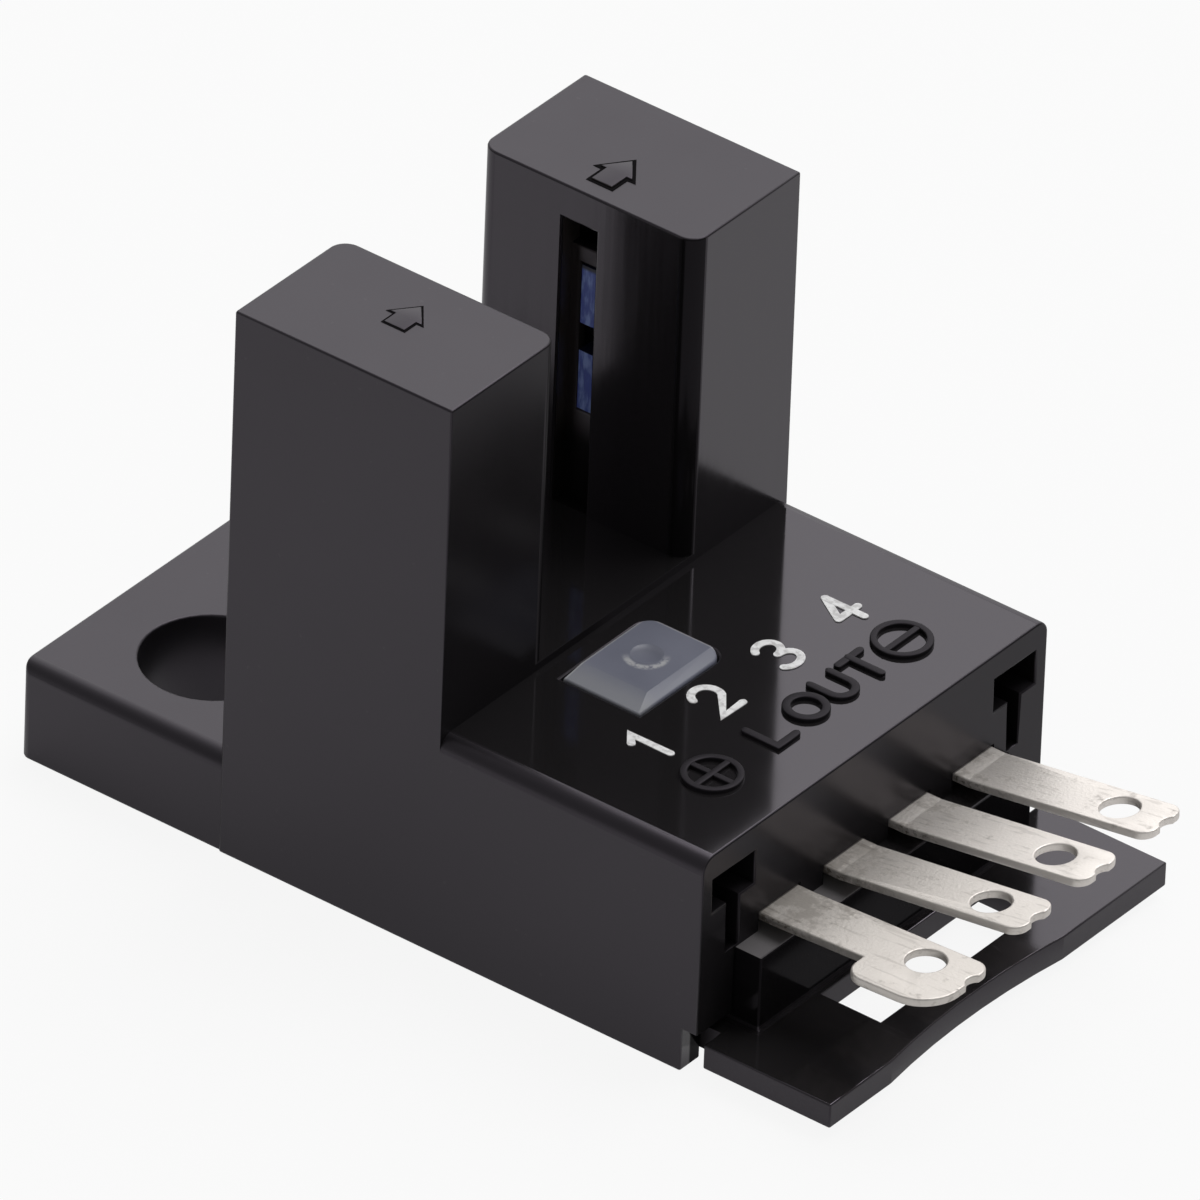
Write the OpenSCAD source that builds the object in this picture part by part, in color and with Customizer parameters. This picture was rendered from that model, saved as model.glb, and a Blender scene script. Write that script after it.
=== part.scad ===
// Slotted optical switch: a light beam crosses the slot between two towers, on a base with a
// mounting flange at one end and four solder terminals over a connector tongue at the other.
// +X runs from the flange to the terminals, +Y from the emitter tower to the receiver tower.
// The origin is midway between the two mounting holes, on the mounting face. Millimetres.

/* [Case] */
// Width of the case across the slot
case_w = 12.8; // [12.4:0.1:13.6]
// Width of the sensing slot between the towers
slot_w = 5; // [4.6:0.1:5.2]
// Length of each tower along the slot
tower_l = 6.2; // [5.8:0.1:7]
// Height of the tower tops above the mounting face
tower_h = 14.8; // [14.6:0.1:17]
// Length of the base from the towers to its terminal end
base_l = 7.5; // [7.2:0.1:9]
// Height of the base's top above the mounting face
base_h = 5.93; // [5.75:0.01:6.5]
// Thickness of the outer walls and the roof
wall = 0.7; // [0.5:0.05:0.8]
// Thickness of the towers' walls beside the slot
slot_wall = 0.7; // [0.6:0.05:0.8]
// Thickness of the wall at the terminal end
end_wall = 0.9; // [0.6:0.05:1.1]
// Round along the long top edges of the base and the flange
edge_r = 0.4; // [0.1:0.05:0.5]
// Round on the towers' upright edges beside the slot
tower_r = 0.45; // [0.1:0.05:0.55]
// Height of the slot's floor above the base's top
slot_rise = 0.2; // [0.1:0.02:0.4]

/* [Mounting flange] */
// Length of the flange from its free end to the towers
flange_l = 5.85; // [5:0.05:7]
// Thickness of the flange
flange_t = 2.6; // [1.6:0.1:3.4]
// How far the flange's sides lie inside the towers' sides
flange_inset = 0.05; // [0.02:0.01:0.15]
// Round on the upright corners of the free end
flange_r = 0.25; // [0.1:0.05:0.6]
// Diameter of the mounting holes
hole_d = 3.4; // [2.2:0.1:3.8]
// Distance between the mounting holes
hole_spacing = 6.8; // [6:0.1:7.4]
// Distance from the mounting holes to the towers
hole_to_tower = 2.65; // [2.3:0.05:3.2]

/* [Light beam] */
// Distance of the beam from the towers' flange side
beam_in = 2.9; // [2.6:0.05:3.2]
// Height of the beam above the mounting face
beam_z = 10.55; // [10.2:0.05:10.9]
// Width of the slit in front of each optical device
slit_w = 1; // [0.7:0.1:1.4]
// Depth of the slit down to the panel that the clip's lips show through
slit_depth = 0.45; // [0.3:0.05:0.5]
// Wall left above the slit
slit_above = 0.9; // [0.75:0.05:1.1]
// Height of the opening above that panel
slit_open_h = 0.9; // [0.5:0.05:1]

/* [Keyways] */
// Distance of each keyway from the middle of the terminal end
key_y = 5.22; // [5.15:0.01:5.3]
// Width of the keyway's bar
key_bar_w = 1.55; // [1.2:0.05:1.6]
// Height of the keyway's bar
key_bar_h = 0.9; // [0.6:0.05:0.95]
// Width of the keyway's stem
key_stem_w = 0.46; // [0.3:0.02:0.6]
// Wall left between the keyway's bar and the base's top
key_above = 0.71; // [0.6:0.01:0.8]
// Height of the keyway's foot above the terminal shelf
key_foot = 0.05; // [0.02:0.01:0.2]
// Depth of the keyways
key_depth = 2.2; // [1:0.1:2.6]
// Wall around the keyways inside the case
key_wall = 0.3; // [0.2:0.05:0.4]

/* [Bottom cover] */
// Height of the cover's underside above the mounting face
cover_rise = 0.27; // [0.1:0.01:0.4]
// Thickness of the cover and its tongue
cover_t = 0.64; // [0.5:0.02:0.7]
// Width of the terminal shelf
shelf_w = 10.1; // [9.9:0.1:10.3]
// Height of the terminal shelf above the mounting face
shelf_z = 2.9; // [2.6:0.05:3]
// How far the terminal shelf stands out of the case
shelf_out = 0.73; // [0.4:0.01:0.8]
// Width of the tongue
tongue_w = 12.56; // [11.8:0.02:12.7]
// How far the tongue stands out of the case
tongue_out = 3.73; // [3.2:0.01:4.5]
// Gap between the case and the wide part of the tongue
tongue_gap = 0.13; // [0.05:0.01:0.3]
// Depth of the shallow hollow in the tongue's free edge
hollow_depth = 0.22; // [0.05:0.01:0.4]
// Length of that hollow along the edge
hollow_l = 6.4; // [3:0.1:8]
// Shift of that hollow towards the emitter tower
hollow_shift = 0.8; // [0:0.1:1.5]
// Width of the latch window in the tongue
latch_w = 5.9; // [4:0.1:7]
// Length of the latch window along the tongue
latch_l = 1.69; // [1:0.01:1.8]
// Distance from the case to the latch window
latch_in = 0.91; // [0.85:0.01:1.1]
// Height of the cut-outs under the case's terminal corners
notch_h = 1.15; // [1:0.05:1.6]
// Length of the cut-outs under the case's terminal corners
notch_l = 0.42; // [0.2:0.02:0.6]
// Diameter of the posts under the circuit board
post_d = 1.2; // [0.8:0.1:1.6]

/* [Terminals] */
// Distance between neighbouring terminals
term_pitch = 2.4; // [2.3:0.02:2.44]
// Shift of the terminal row towards the receiver tower
term_shift = 0.15; // [0:0.01:0.16]
// Width of a terminal
term_w = 1.45; // [1.2:0.05:1.5]
// Thickness of a terminal
term_t = 0.22; // [0.18:0.01:0.28]
// How far the terminals stand out of the case
term_out = 5.45; // [5.2:0.05:6.5]
// How far the terminals run inward past the end wall
term_in = 1.5; // [1.2:0.1:1.6]
// Distance from the case to the bend of the terminals
bend_out = 0.4; // [0.2:0.05:1]
// Distance from the case to the wire holes
eye_out = 4.13; // [3.9:0.01:4.3]
// Diameter of the wire holes
eye_d = 0.95; // [0.6:0.05:1]
// Round of the two lobes at a terminal's tip
tip_r = 0.36; // [0.25:0.01:0.4]
// Depth of the nick between the lobes at a terminal's tip
tip_nick = 0.13; // [0.05:0.01:0.25]
// Radius of that nick
nick_r = 0.3; // [0.2:0.01:0.35]
// How far the plus terminal's lobe reaches to one side of its middle
lobe_w = 1.5; // [1.2:0.05:1.8]
// Length of the plus terminal's lobe
lobe_l = 2.55; // [2:0.05:2.8]
// Round of the lobe's corner towards the case
lobe_r = 0.5; // [0.2:0.05:0.6]
// Round of the lobe's corner at the tip
lobe_tip_r = 1; // [0.6:0.05:1.1]

/* [Indicator window] */
// Length of the window along the base
window_l = 2.2; // [1.8:0.05:2.6]
// Width of the window across the base
window_w = 3.13; // [2.4:0.01:3.6]
// Distance from the towers to the window
window_in = 0.63; // [0.55:0.01:1]
// Shift of the window's middle towards the emitter tower
window_shift = 1.17; // [0.8:0.01:1.4]
// How far the window stands above the base's top
window_rise = 0.1; // [0.05:0.01:0.3]
// Run of the slope on the window's side towards the terminals
window_end_run = 0.33; // [0.2:0.01:0.5]
// Run of the slope on the window's emitter side
window_side_run = 0.7; // [0.3:0.01:0.9]
// Radius of the dimple in the window's top
dimple_r = 0.8; // [0.6:0.05:1]
// Round on the window's two corners on the receiver side
window_r = 0.4; // [0.1:0.05:0.6]
// Width of the rim that holds the window under the roof
window_rim = 0.4; // [0.2:0.05:0.5]
// Thickness of that rim
window_rim_t = 0.45; // [0.3:0.05:0.6]

/* [Circuit] */
// Thickness of the circuit board
board_t = 0.8; // [0.6:0.05:1]
// Distance between the terminals' underside and the shelf
term_lift = 0.26; // [0.16:0.01:0.32]
// Width of an optical device
device_w = 3; // [2.8:0.1:3.2]
// Height of an optical device
device_h = 3.1; // [2.6:0.1:3.2]
// Gap between a device's clip and the tower's outer wall
device_gap = 0.4; // [0.1:0.05:0.6]
// Radius of an optical device's lens
lens_r = 0.32; // [0.2:0.01:0.36]
// Thickness of a device lead
lead_t = 0.4; // [0.3:0.02:0.46]
// Distance from a device's middle to its outer leads
lead_pitch = 1.27; // [1.24:0.01:1.29]
// Diameter of the lead holes in the board
lead_hole_d = 0.75; // [0.7:0.01:0.9]
// How far leads and terminal legs stand out under the board
lead_below = 0.4; // [0.2:0.05:0.7]
// Width of the clip that holds a device
clip_w = 2; // [1.6:0.05:2.05]
// Thickness of the clip
clip_t = 0.4; // [0.25:0.05:0.45]
// Width of the clip's two lips in front of the device
lip_w = 0.4; // [0.3:0.02:0.6]
// Height of the aperture between the lips
aperture_h = 0.75; // [0.74:0.01:1]
// Gap between pieces that slip into each other
slip = 0.05; // [0.02:0.01:0.08]

/* [Parts on the board] */
// Length of the larger chips
chip_l = 2; // [1.6:0.1:2.4]
// Width of the larger chips
chip_w = 1.25; // [1:0.05:1.5]
// Length of the smaller chips
small_chip_l = 1.6; // [1.2:0.1:2]
// Width of the smaller chips
small_chip_w = 0.8; // [0.6:0.05:1]
// Height of the resistors
resistor_h = 0.5; // [0.4:0.05:0.7]
// Height of the capacitor
capacitor_h = 0.8; // [0.6:0.05:1.2]
// Height of the indicator's light source
led_h = 0.65; // [0.5:0.05:0.8]
// Length of the transistor's body
transistor_l = 2.9; // [2.4:0.1:3.2]
// Width of the transistor's body
transistor_w = 1.3; // [1.1:0.05:1.5]
// Distance of the transistor's paired legs from its middle
transistor_leg = 0.95; // [0.8:0.05:1]
// Length of the diode's body
diode_l = 2.7; // [2.2:0.1:3]
// Width of the diode's body
diode_w = 1.6; // [1.3:0.05:1.8]
// Height of the transistor and the diode
moulded_h = 1.1; // [0.8:0.05:1.2]
// Gap between a part on the board and the edge or wall beside it
part_gap = 0.3; // [0.1:0.05:0.4]

/* [Hidden] */
$fn = 64;

// Colours
BLACK = [0.09, 0.09, 0.1];
COVER_BLACK = [0.07, 0.07, 0.075];
MILKY = [0.5, 0.53, 0.6];
TIN = [0.74, 0.72, 0.69];
BLUE = [0.16, 0.2, 0.62];
BOARD_GREEN = [0.1, 0.32, 0.2];
EPOXY = [0.14, 0.13, 0.16];
CERAMIC = [0.72, 0.66, 0.56];

// Overshoot of a cut past the face that it opens
over = 0.5;

// Lengthwise places
tower_x0 = hole_to_tower;
tower_x1 = tower_x0 + tower_l;
end_x = tower_x1 + base_l;
flange_x0 = tower_x0 - flange_l;
beam_x = tower_x0 + beam_in;
cavity_x0 = tower_x0 + wall;
end_inner_x = end_x - end_wall;
guide_x0 = end_x - key_depth - key_wall;

// Crosswise places
tower_y0 = slot_w / 2;
lip_y0 = tower_y0 + slit_depth;
device_y0 = tower_y0 + slot_wall + clip_t;
device_t = case_w / 2 - wall - device_gap - clip_t - device_y0;
cavity_w = case_w - 2 * wall;
guide_low_y = key_y - key_stem_w / 2 - key_wall;
guide_high_y = key_y - key_bar_w / 2 - key_wall;

// Heights
cavity_top = base_h - wall;
slot_floor = base_h + slot_rise;
key_top = base_h - key_above;
key_bar_z = key_top - key_bar_h;
cover_top = cover_rise + cover_t;
term_z = shelf_z + term_lift;
board_top = term_z;
board_z = board_top - board_t;
clip_h = device_h + 2 * clip_t;
device_z = beam_z - device_h / 2;

// Terminals
term_in_x = end_inner_x - term_in;
bend_x = end_x + bend_out;
tip_x = end_x + term_out;
leg_w = lead_t * 1.5;
// The four terminals are bent up by slightly different angles
TILT = [2.8, 8, 8.4, 8.7];
function term_y(i) = term_shift + (i - 1.5) * term_pitch;

// Indicator window
window_x0 = tower_x1 + window_in;
window_x = window_x0 + window_l / 2;
window_y0 = -window_shift - window_w / 2;
// The dimple sits in the middle of the flat between the slopes
dimple_x = window_x - window_end_run / 2;
dimple_y = -window_shift + window_side_run / 2;

// Shapes shared by several pieces

// Both halves of a shape that is the same on the two sides of the slot
module both_sides() {
    for (side = [0, 1]) mirror([0, side, 0]) children();
}

// A shape made for the receiver side, put on the emitter side
module emitter_side() {
    mirror([0, 1, 0]) children();
}

// A profile in Y and Z, carried along X from x0 over a length
module along_x(x0, length) {
    translate([x0, 0, 0]) rotate([90, 0, 90]) linear_extrude(length) children();
}

// A profile in X and Z, carried across Y, symmetric about Y = 0
module across_y(width) {
    translate([0, width / 2, 0]) rotate([90, 0, 0]) linear_extrude(width) children();
}

// What a round takes off a square corner at the origin that points to +X and +Y
module corner_cut(r) {
    difference() {
        translate([-r, -r]) square(2 * r);
        translate([-r, -r]) circle(r);
    }
}

// A rectangle on the base line, its two top corners rounded
module round_topped(width, height, r) {
    difference() {
        translate([-width / 2, 0]) square([width, height]);
        translate([width / 2, height]) corner_cut(r);
        mirror([1, 0]) translate([width / 2, height]) corner_cut(r);
    }
}

// The window's outline, grown by a margin: its two corners on the receiver side are rounded
module window_outline(margin) {
    half_l = window_l / 2 + margin;
    half_w = window_w / 2 + margin;
    translate([window_x, -window_shift]) difference() {
        translate([-half_l, -half_w]) square([2 * half_l, 2 * half_w]);
        translate([half_l, half_w]) corner_cut(window_r + margin);
        mirror([1, 0]) translate([half_l, half_w]) corner_cut(window_r + margin);
    }
}

// Case

module flange_block() {
    flange_half = case_w / 2 - flange_inset;
    difference() {
        along_x(flange_x0, flange_l + wall) round_topped(2 * flange_half, flange_t, edge_r);
        both_sides() translate([flange_x0, flange_half, -over]) mirror([1, 0, 0])
            linear_extrude(flange_t + 2 * over) corner_cut(flange_r);
        both_sides() translate([0, hole_spacing / 2, -over])
            cylinder(d = hole_d, h = flange_t + 2 * over);
    }
}

module tower() {
    tower_w = case_w / 2 - tower_y0;
    linear_extrude(tower_h) translate([tower_x0, tower_y0]) difference() {
        square([tower_l, tower_w]);
        mirror([1, 0]) mirror([0, 1]) corner_cut(tower_r);
        translate([tower_l, 0]) mirror([0, 1]) corner_cut(tower_r);
    }
}

// The block under the slot and the towers
module slot_block() {
    translate([tower_x0, -case_w / 2, 0]) cube([tower_l, case_w, slot_floor]);
}

module tower_cavity() {
    translate([cavity_x0, tower_y0 + slot_wall, -over])
        cube([tower_l - 2 * wall, case_w / 2 - wall - tower_y0 - slot_wall, tower_h - wall + over]);
}

// The slit in front of an optical device: a recess that rises from the slot's floor, open to the
// inside at its upper end and where the clip's lips show through
module beam_slit() {
    slit_top = tower_h - slit_above;
    lips_w = lip_w + 2 * slip;
    lips_h = clip_h + 2 * slip;
    translate([beam_x - slit_w / 2, tower_y0 - over, slot_floor])
        cube([slit_w, over + slit_depth, slit_top - slot_floor]);
    translate([beam_x - slit_w / 2, tower_y0, slit_top - slit_open_h])
        cube([slit_w, slot_wall + over, slit_open_h]);
    translate([beam_x - lips_w / 2, tower_y0, beam_z - lips_h / 2]) cube([lips_w, slot_wall + over, lips_h]);
}

// Solid guides inside the terminal end that the keyways are sunk in
module key_guide() {
    guide_l = end_x - guide_x0;
    translate([guide_x0, guide_high_y, key_bar_z - key_wall])
        cube([guide_l, case_w / 2 - guide_high_y, base_h - key_bar_z]);
    translate([guide_x0, guide_low_y, shelf_z])
        cube([guide_l, case_w / 2 - guide_low_y, base_h - shelf_z - edge_r]);
}

module keyway() {
    translate([end_x - key_depth, key_y - key_bar_w / 2, key_bar_z])
        cube([key_depth + over, key_bar_w, key_bar_h]);
    translate([end_x - key_depth, key_y - key_stem_w / 2, shelf_z + key_foot])
        cube([key_depth + over, key_stem_w, key_bar_z - shelf_z]);
}

module base_cavity() {
    difference() {
        translate([cavity_x0, -cavity_w / 2, -over])
            cube([end_inner_x - cavity_x0, cavity_w, cavity_top + over]);
        both_sides() key_guide();
    }
}

// The way out for the bottom cover under the end wall, and the cut-outs at its corners
module end_opening() {
    opening_w = shelf_w + 2 * slip;
    translate([end_inner_x - over, -opening_w / 2, -over])
        cube([end_wall + 2 * over, opening_w, shelf_z + over]);
    translate([end_inner_x - over, -cavity_w / 2, -over])
        cube([end_wall + 2 * over, cavity_w, notch_h + over]);
    translate([end_x - notch_l, -case_w / 2 - over, -over])
        cube([notch_l + over, case_w + 2 * over, notch_h + over]);
}

// Gaps in the end wall's lower edge that the terminals come out of
module terminal_comb() {
    for (i = [0:3])
        translate([end_inner_x - over, term_y(i) - term_w / 2 - slip, shelf_z - over])
            cube([end_wall + 2 * over, term_w + 2 * slip, over + term_lift + term_t + slip]);
}

module case() {
    color(BLACK) difference() {
        union() {
            flange_block();
            along_x(tower_x0, end_x - tower_x0) round_topped(case_w, base_h, edge_r);
            slot_block();
            both_sides() tower();
        }
        base_cavity();
        end_opening();
        terminal_comb();
        both_sides() tower_cavity();
        both_sides() beam_slit();
        both_sides() keyway();
        translate([0, 0, cavity_top - over]) linear_extrude(wall + 2 * over) window_outline(slip);
    }
}

// Bottom cover

module tongue() {
    tongue_l = tongue_out - tongue_gap;
    hollow_r = (pow(hollow_l / 2, 2) + pow(hollow_depth, 2)) / (2 * hollow_depth);
    translate([end_x + tongue_gap, 0, cover_rise]) difference() {
        translate([0, -tongue_w / 2, 0]) cube([tongue_l, tongue_w, cover_t]);
        translate([tongue_l + hollow_r - hollow_depth, -hollow_shift, -over])
            cylinder(r = hollow_r, h = cover_t + 2 * over, $fn = 360);
        translate([latch_in - tongue_gap, -latch_w / 2, -over]) cube([latch_l, latch_w, cover_t + 2 * over]);
    }
}

module board_posts() {
    post_r = post_d / 2;
    for (x = [cavity_x0 + slip + post_r, guide_x0 - slip - post_r])
        both_sides() translate([x, hole_spacing / 2 - post_d, cover_rise])
            cylinder(r = post_r, h = board_z - cover_rise);
}

module bottom_cover() {
    plate_x0 = cavity_x0 + slip;
    plate_w = cavity_w - 2 * slip;
    color(COVER_BLACK) {
        translate([plate_x0, -plate_w / 2, cover_rise])
            cube([end_x + tongue_gap - plate_x0, plate_w, cover_t]);
        translate([end_inner_x, -shelf_w / 2, cover_rise])
            cube([end_wall + shelf_out, shelf_w, shelf_z - cover_rise]);
        tongue();
        board_posts();
    }
}

// Terminals

// A terminal seen from above: a strip with two lobes and a nick at its tip
module terminal_plan() {
    half_w = term_w / 2;
    difference() {
        translate([term_in_x, -half_w]) square([tip_x - term_in_x, term_w]);
        translate([tip_x, half_w]) corner_cut(tip_r);
        mirror([0, 1]) translate([tip_x, half_w]) corner_cut(tip_r);
        translate([tip_x - tip_nick + nick_r, 0]) circle(nick_r);
        translate([end_x + eye_out, 0]) circle(d = eye_d);
    }
}

// The plus terminal's lobe, on its outer side
module lobe_plan() {
    translate([tip_x - lobe_l, -lobe_w]) difference() {
        square([lobe_l, lobe_w - eye_d / 2]);
        mirror([1, 0]) mirror([0, 1]) corner_cut(lobe_r);
        translate([lobe_l, 0]) mirror([0, 1]) corner_cut(lobe_tip_r);
    }
}

// The strip seen from the side, flat in the case and then bent up
module terminal_side(tilt) {
    rise = (tip_x - bend_x) * tan(tilt);
    polygon([
        [term_in_x, term_z], [bend_x, term_z], [tip_x, term_z + rise],
        [tip_x, term_z + rise + term_t], [bend_x, term_z + term_t], [term_in_x, term_z + term_t]
    ]);
}

module terminal(i, with_lobe) {
    color(TIN) translate([0, term_y(i), 0]) {
        intersection() {
            linear_extrude(tower_h) {
                terminal_plan();
                if (with_lobe) lobe_plan();
            }
            across_y(2 * term_pitch) terminal_side(TILT[i]);
        }
        translate([term_in_x, -leg_w / 2, board_z - lead_below])
            cube([term_t, leg_w, board_t + lead_below + term_t / 2]);
    }
}

module terminal_plus() {
    terminal(0, true);
}

module terminal_l() {
    terminal(1, false);
}

module terminal_out() {
    terminal(2, false);
}

module terminal_minus() {
    terminal(3, false);
}

// Indicator window

// What a slope takes off an edge at the origin that points to +X: it falls to the base's top there
module slope_cut(run) {
    polygon([[-run, 0], [over, -window_rise * (run + over) / run], [over, over], [-run, over]]);
}

module indicator_window() {
    window_top = base_h + window_rise;
    dimple_depth = window_rise;
    stem_z = board_top + led_h + 2 * slip;
    color(MILKY) {
        difference() {
            translate([0, 0, cavity_top - window_rim_t / 2])
                linear_extrude(window_top - cavity_top + window_rim_t / 2) window_outline(0);
            across_y(case_w) translate([window_x0 + window_l, window_top]) slope_cut(window_end_run);
            along_x(window_x0 - over, window_l + 2 * over) translate([window_y0, window_top]) mirror([1, 0])
                slope_cut(window_side_run);
            translate([dimple_x, dimple_y, window_top - dimple_depth + dimple_r]) sphere(dimple_r);
        }
        translate([0, 0, cavity_top - window_rim_t]) linear_extrude(window_rim_t) window_outline(window_rim);
        translate([window_x, -window_shift, stem_z])
            cylinder(r = window_l / 2, h = cavity_top - window_rim_t / 2 - stem_z);
    }
}

// Circuit board

module board_outline() {
    board_x0 = cavity_x0 + slip;
    wide = cavity_w - 2 * slip;
    narrow = 2 * (guide_low_y - slip);
    translate([board_x0, -wide / 2]) square([guide_x0 - slip - board_x0, wide]);
    translate([board_x0, -narrow / 2]) square([end_inner_x - slip - board_x0, narrow]);
}

module circuit_board() {
    lead_y = device_y0 + device_t / 2;
    color(BOARD_GREEN) translate([0, 0, board_z]) difference() {
        linear_extrude(board_t) board_outline();
        for (i = [0:3])
            translate([term_in_x - slip, term_y(i) - leg_w / 2 - slip, -over])
                cube([term_t + 2 * slip, leg_w + 2 * slip, board_t + 2 * over]);
        for (k = [-1:1]) translate([beam_x + k * lead_pitch, lead_y, -over])
            cylinder(d = lead_hole_d, h = board_t + 2 * over);
        for (k = [-1, 1]) translate([beam_x + k * lead_pitch, -lead_y, -over])
            cylinder(d = lead_hole_d, h = board_t + 2 * over);
    }
}

// Optical devices, made on the receiver side

module device() {
    color(EPOXY) {
        translate([beam_x - device_w / 2, device_y0, device_z]) cube([device_w, device_t, device_h]);
        translate([beam_x, device_y0, beam_z]) sphere(lens_r);
    }
}

module lead(k) {
    lead_z = board_z - lead_below;
    color(TIN) translate([beam_x + k * lead_pitch - lead_t / 2, device_y0 + (device_t - lead_t) / 2, lead_z])
        cube([lead_t, lead_t, device_z - lead_z]);
}

// A clip around the device: its two lips stand in the slit and leave the aperture between them free
module clip(middle_lead) {
    clip_z = beam_z - clip_h / 2;
    lip_h = (clip_h - aperture_h) / 2;
    lead_gap = lead_t + 4 * slip;
    color(BLUE) difference() {
        union() {
            translate([beam_x - clip_w / 2, device_y0, clip_z]) cube([clip_w, device_t + clip_t, clip_h]);
            for (z = [clip_z, clip_z + clip_h - lip_h])
                translate([beam_x - lip_w / 2, lip_y0, z]) cube([lip_w, device_y0 + clip_t - lip_y0, lip_h]);
        }
        translate([beam_x - clip_w, device_y0, device_z]) cube([2 * clip_w, device_t, device_h]);
        if (middle_lead)
            translate([beam_x - lead_gap / 2, device_y0 + (device_t - lead_gap) / 2, clip_z - over])
                cube([lead_gap, lead_gap, clip_t + 2 * over]);
    }
}

module emitter_led() {
    emitter_side() device();
}

module emitter_anode_lead() {
    emitter_side() lead(-1);
}

module emitter_cathode_lead() {
    emitter_side() lead(1);
}

module emitter_clip() {
    emitter_side() clip(false);
}

module receiver_ic() {
    device();
}

module receiver_supply_lead() {
    lead(-1);
}

module receiver_output_lead() {
    lead(0);
}

module receiver_ground_lead() {
    lead(1);
}

module receiver_clip() {
    clip(true);
}

// Small parts on the board

// A chip with metal ends, lying along X on the board
module chip(x, y, size, body_color) {
    cap = size[0] / 5;
    skin = size[2] / 20;
    translate([x, y, board_top]) {
        color(body_color) translate([-size[0] / 2, -size[1] / 2, 0]) cube(size);
        color(TIN) for (end = [-1, 1])
            translate([end * (size[0] - cap) / 2 - cap / 2, -size[1] / 2 - skin, 0])
                cube([cap, size[1] + 2 * skin, size[2] + skin]);
    }
}

// How far the legs of a moulded body reach from its middle
function leg_reach(size) = size[1] / 2 + size[0] / 5;

// A moulded body on legs: a row of leg places along X for each of its two long sides
module legged(x, y, size, near_legs, far_legs) {
    leg = size[0] / 8;
    reach = leg_reach(size);
    foot = size[2] / 6;
    translate([x, y, board_top]) {
        color(EPOXY) translate([-size[0] / 2, -size[1] / 2, foot]) cube([size[0], size[1], size[2] - foot]);
        color(TIN) {
            for (k = near_legs) translate([k - leg / 2, -reach, 0]) cube([leg, reach, 2 * foot]);
            for (k = far_legs) translate([k - leg / 2, 0, 0]) cube([leg, reach, 2 * foot]);
        }
    }
}

module indicator_led() {
    chip(window_x, -window_shift, [small_chip_l, small_chip_w, led_h], MILKY);
}

module emitter_resistor() {
    chip(tower_x1 - part_gap - chip_l / 2, -slot_w / 4, [chip_l, chip_w, resistor_h], EPOXY);
}

module indicator_resistor() {
    chip(window_x, slot_w / 4, [small_chip_l, small_chip_w, resistor_h], EPOXY);
}

module output_transistor() {
    size = [transistor_l, transistor_w, moulded_h];
    legged(tower_x1 - part_gap - transistor_l / 2, slot_w / 4, size, [-transistor_leg, transistor_leg], [0]);
}

module protection_diode() {
    size = [diode_l, diode_w, moulded_h];
    legged(window_x, cavity_w / 2 - part_gap - leg_reach(size), size, [0], [0]);
}

module bypass_capacitor() {
    chip(window_x, chip_w / 2 + part_gap - cavity_w / 2, [chip_l, chip_w, capacitor_h], CERAMIC);
}

case();
bottom_cover();
indicator_window();
circuit_board();
terminal_plus();
terminal_l();
terminal_out();
terminal_minus();
emitter_led();
emitter_anode_lead();
emitter_cathode_lead();
emitter_clip();
receiver_ic();
receiver_supply_lead();
receiver_output_lead();
receiver_ground_lead();
receiver_clip();
indicator_led();
emitter_resistor();
indicator_resistor();
output_transistor();
protection_diode();
bypass_capacitor();
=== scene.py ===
"""Slotted optical switch: finishes, moulded signs, print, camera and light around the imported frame."""

import math
from contextlib import contextmanager

import bmesh
import bpy
from mathutils import Matrix, Vector


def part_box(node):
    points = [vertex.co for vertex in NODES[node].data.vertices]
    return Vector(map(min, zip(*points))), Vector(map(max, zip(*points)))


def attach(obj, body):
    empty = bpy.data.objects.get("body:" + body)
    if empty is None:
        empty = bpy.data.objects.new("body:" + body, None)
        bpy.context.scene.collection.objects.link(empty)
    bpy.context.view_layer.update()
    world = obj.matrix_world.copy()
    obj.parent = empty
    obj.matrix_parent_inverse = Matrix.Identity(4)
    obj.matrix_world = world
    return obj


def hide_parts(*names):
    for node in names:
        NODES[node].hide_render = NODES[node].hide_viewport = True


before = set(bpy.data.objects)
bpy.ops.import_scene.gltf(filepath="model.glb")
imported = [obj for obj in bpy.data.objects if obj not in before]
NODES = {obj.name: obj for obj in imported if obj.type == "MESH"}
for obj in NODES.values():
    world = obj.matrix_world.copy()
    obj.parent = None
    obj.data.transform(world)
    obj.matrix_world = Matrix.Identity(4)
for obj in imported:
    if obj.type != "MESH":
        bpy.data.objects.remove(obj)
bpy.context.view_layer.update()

scene = bpy.context.scene

# Sizes of the part are in millimetres, and new_piece() brings its meshes to metres
MM = 0.001
# Depths of fine relief and sizes of the studio are in metres
MICRON = 1e-6


def box(node):
    return [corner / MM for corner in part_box(node)]


# Places taken from the frame
case_high = box("case")[1]
clip_low, clip_high = box("receiver_clip")
cover_low, cover_high = box("bottom_cover")
window_low, window_high = box("indicator_window")
WINDOW_RISE = 0.1
TOWER_TOP = case_high.z
BASE_TOP = window_high.z - WINDOW_RISE
END_X = case_high.x
SHELF_TOP = cover_high.z
BEAM_X = (clip_low.x + clip_high.x) / 2
TERMINAL_BLOCK_L = 7.5
TOWER_L = 6.2
TOWER_END_X = END_X - TERMINAL_BLOCK_L
TOWER_X = TOWER_END_X - TOWER_L
SLOT_HALF = 2.5
# The window's top is smaller than its rim inside the case
WINDOW_RIM = 0.4
WINDOW_X = window_low.x + WINDOW_RIM
WINDOW_Y = window_high.y - WINDOW_RIM
# The mark lies in the middle of the window's flat, between its two slopes
MARK = (10.45, -0.9)

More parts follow.
